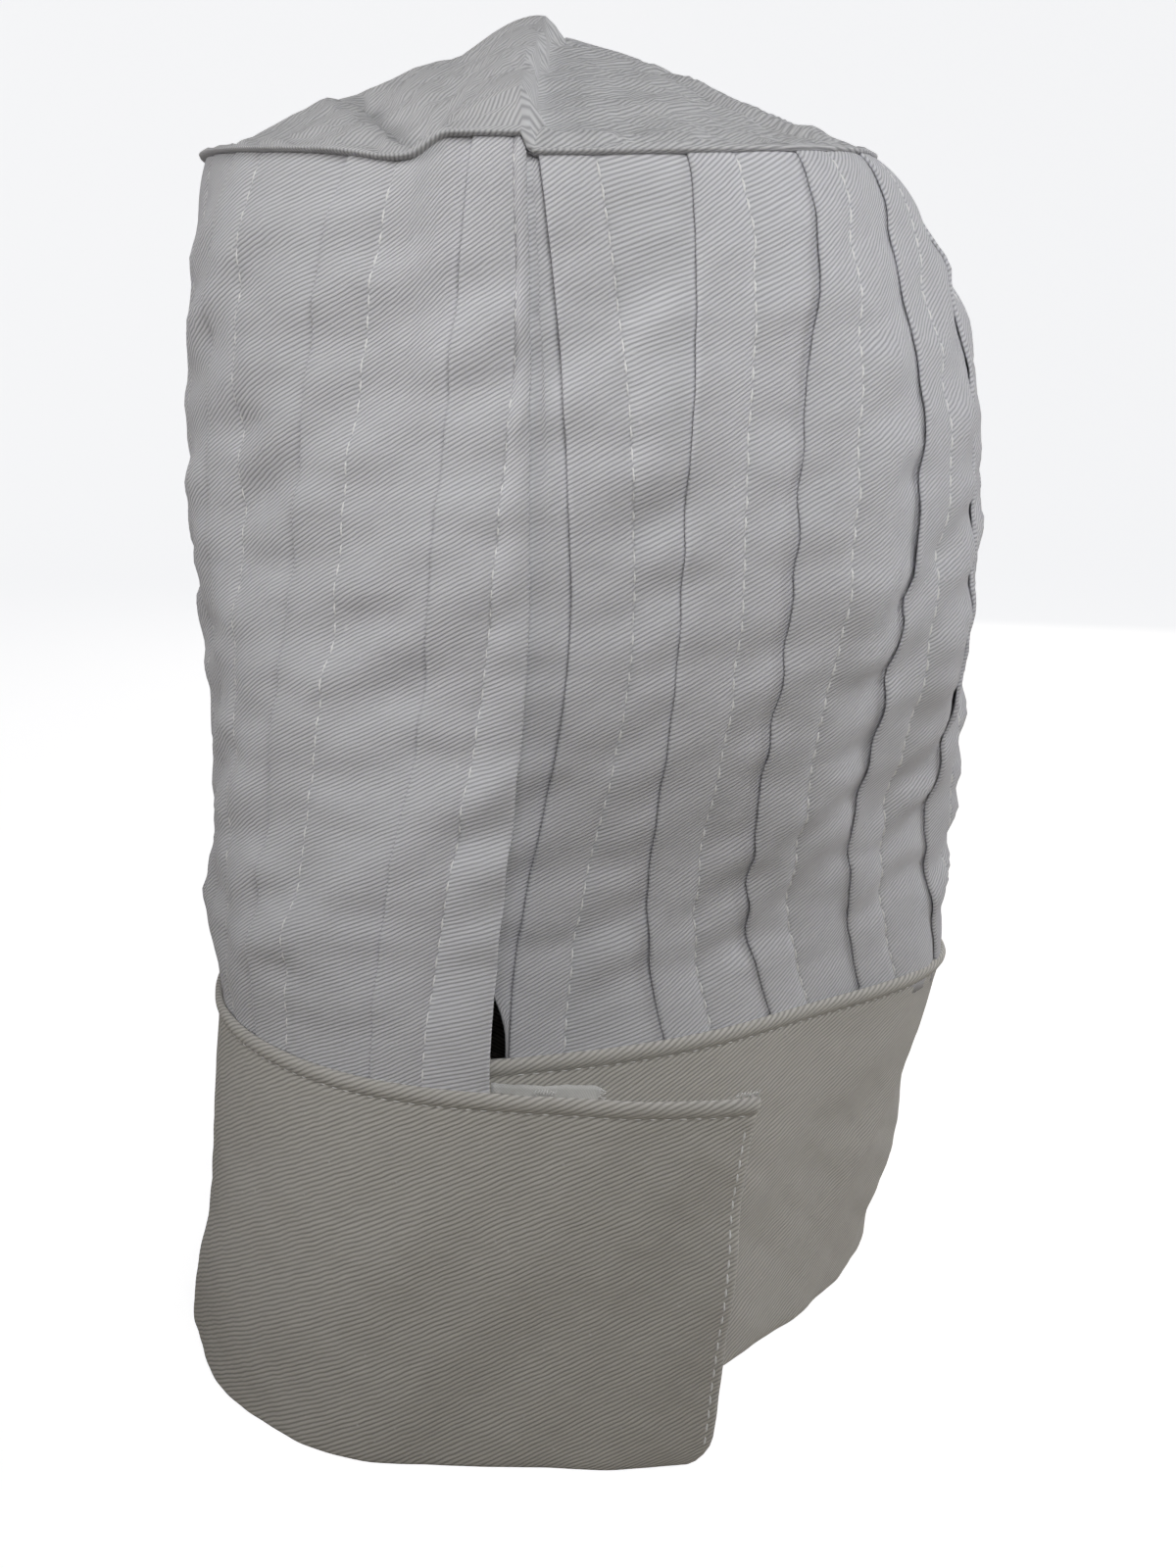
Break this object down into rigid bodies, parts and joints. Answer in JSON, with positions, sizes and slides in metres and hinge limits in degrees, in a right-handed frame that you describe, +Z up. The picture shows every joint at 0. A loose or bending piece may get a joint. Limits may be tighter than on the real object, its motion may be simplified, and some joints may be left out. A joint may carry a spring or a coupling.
{
  "type": "chef toque",
  "caption": "Tall white pleated cook's hat in twill, with a soft gathered crown, a stiff head band and a hook-and-loop closure tab at the open back slit.",
  "frame": {"origin": "middle of the footprint, on the plane that the band's rim rests on", "axes": "+Z up through the crown, -Y towards the back of the hat, where the slit and the closure tab are, +X to the right as seen from behind"},
  "size_m": [0.2077, 0.2062, 0.33],
  "materials": {
    "twill": "matt white cotton and polyester twill with diagonal ribs",
    "band_twill": "the same twill, pressed over a stiff interlining",
    "interlining": "stiff white non-woven",
    "thread": "white polyester sewing thread",
    "tape": "white nylon fastening tape and cotton stay tape"
  },
  "bodies": {
    "hat": {"pleated_wall": "twill", "crown_panel": "twill", "band_outer": "band_twill", "band_interlining": "interlining", "band_facing": "band_twill", "loop_tape": "tape", "pleat_stitching": "thread", "band_top_stitching": "thread", "loop_tape_stitching": "thread", "crown_seam_stitching": "thread"},
    "closure_tab": {"closure_tab_outer": "band_twill", "closure_tab_interlining": "interlining", "closure_tab_facing": "band_twill", "hook_tape": "tape", "seam_tape_end": "tape", "tab_edge_stitching": "thread", "hook_tape_stitching": "thread"}
  },
  "joints": [
    {"name": "closure_tab_peel", "type": "hinge", "parent": "hat", "child": "closure_tab", "pos_m": [-0.01724, -0.10079, 0.046], "axis": [0, 0, -1], "range_deg": [-22, 115], "stiffness_Nm_per_rad": 0.01}
  ]
}
